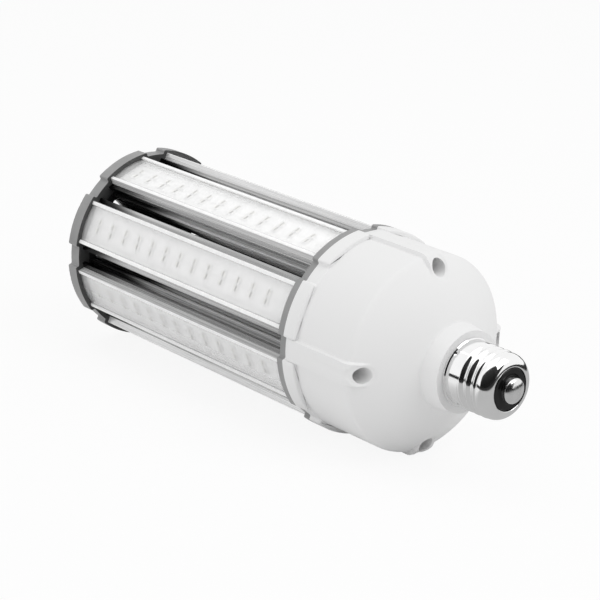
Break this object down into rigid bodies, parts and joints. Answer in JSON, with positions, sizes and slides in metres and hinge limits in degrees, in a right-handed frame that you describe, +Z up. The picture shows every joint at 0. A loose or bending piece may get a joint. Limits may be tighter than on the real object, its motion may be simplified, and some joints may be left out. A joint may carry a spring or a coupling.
{
  "type": "led post top bulb",
  "caption": "Corn-type LED lamp with finned light strips round a hollow core, a domed driver housing and a screw base.",
  "frame": {"origin": "midway along the lamp, straight under its axis, on the surface that it lies on", "axes": "+X along the lamp's axis towards the screw base, +Z up, two lobes of each end on the surface"},
  "size_m": [0.2258, 0.0822, 0.0823],
  "materials": {
    "grey_paint": "satin grey paint",
    "black_plate": "matt black",
    "screw_steel": "plated steel",
    "strip_aluminium": "bright extruded",
    "tube_aluminium": "drawn, black anodised",
    "board_white": "white solder resist on aluminium",
    "led_phosphor": "pale phosphor in a white package",
    "clear_cover": "clear extruded plastic",
    "housing_white": "glossy moulded white",
    "circuit_board": "solder resist",
    "ferrite": "matt ferrite and taped winding",
    "capacitor_sleeve": "shrunk sleeve",
    "choke_winding": "enamelled copper wire",
    "component_black": "moulded epoxy",
    "fuse_body": "ceramic look",
    "lead_red": "soft insulation",
    "lead_black": "soft insulation",
    "lead_white": "soft insulation",
    "shell_nickel": "bright nickel plate",
    "insulator_black": "glossy black",
    "contact_metal": "tinned contact"
  },
  "bodies": {
    "root": {"base_insulator": "insulator_black", "cap_liner": "black_plate", "cap_screws": "screw_steel", "centre_contact": "contact_metal", "core_tube": "tube_aluminium", "driver_board": "circuit_board", "driver_housing": "housing_white", "end_cap": "grey_paint", "end_ring": "grey_paint", "filter_choke": "choke_winding", "fuse": "fuse_body", "heatsink_1": "strip_aluminium", "heatsink_2": "strip_aluminium", "heatsink_3": "strip_aluminium", "heatsink_4": "strip_aluminium", "heatsink_5": "strip_aluminium", "heatsink_6": "strip_aluminium", "heatsink_7": "strip_aluminium", "heatsink_8": "strip_aluminium", "housing_screws": "screw_steel", "led_board_1": "board_white", "led_board_2": "board_white", "led_board_3": "board_white", "led_board_4": "board_white", "led_board_5": "board_white", "led_board_6": "board_white", "led_board_7": "board_white", "led_board_8": "board_white", "led_chips_1": "led_phosphor", "led_chips_2": "led_phosphor", "led_chips_3": "led_phosphor", "led_chips_4": "led_phosphor", "led_chips_5": "led_phosphor", "led_chips_6": "led_phosphor", "led_chips_7": "led_phosphor", "led_chips_8": "led_phosphor", "live_lead": "lead_black", "main_capacitor": "capacitor_sleeve", "minus_lead": "lead_black", "neutral_lead": "lead_white", "output_capacitor": "capacitor_sleeve", "plus_lead": "lead_red", "power_transistor": "component_black", "rectifier": "component_black", "ring_screws": "screw_steel", "screw_shell": "shell_nickel", "strip_cover_1": "clear_cover", "strip_cover_2": "clear_cover", "strip_cover_3": "clear_cover", "strip_cover_4": "clear_cover", "strip_cover_5": "clear_cover", "strip_cover_6": "clear_cover", "strip_cover_7": "clear_cover", "strip_cover_8": "clear_cover", "transformer": "ferrite"}
  },
  "joints": []
}
